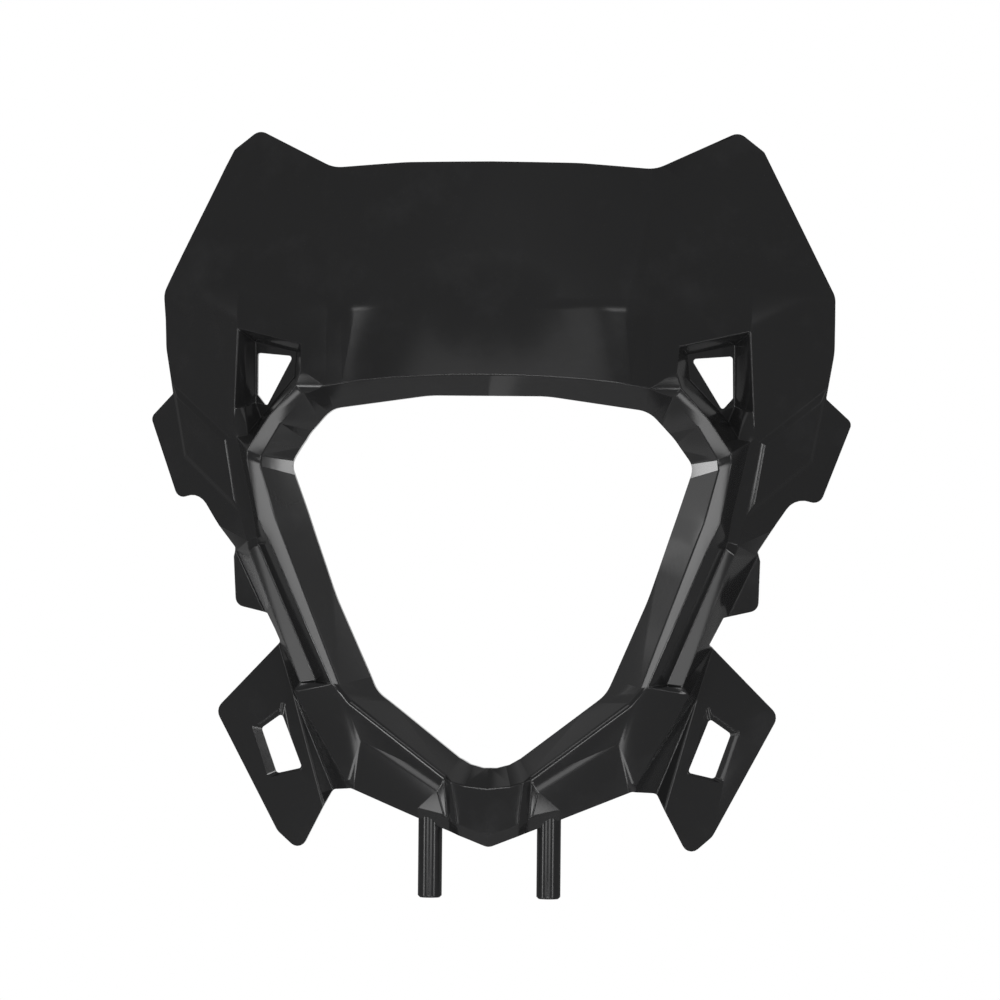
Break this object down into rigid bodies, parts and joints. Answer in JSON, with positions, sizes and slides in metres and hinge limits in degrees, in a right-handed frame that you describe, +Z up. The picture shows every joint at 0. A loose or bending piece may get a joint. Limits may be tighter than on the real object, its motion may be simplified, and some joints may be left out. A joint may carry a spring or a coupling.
{
  "type": "motorcycle headlight mask",
  "caption": "One-piece gloss black headlight mask for an off-road motorcycle: number shield, wings, framed lamp opening, strap lobes and two fender pegs.",
  "frame": {"origin": "on the symmetry plane between the fender pegs, level with their shoulders below the chin", "axes": "+X to the right seen from the front, -Y ahead towards the road, +Z up"},
  "size_m": [0.295, 0.0795, 0.3184],
  "materials": {
    "gloss_black_plastic": "gloss black injection-moulded polypropylene"
  },
  "bodies": {
    "root": {"headlight_mask": "gloss_black_plastic"}
  },
  "joints": []
}
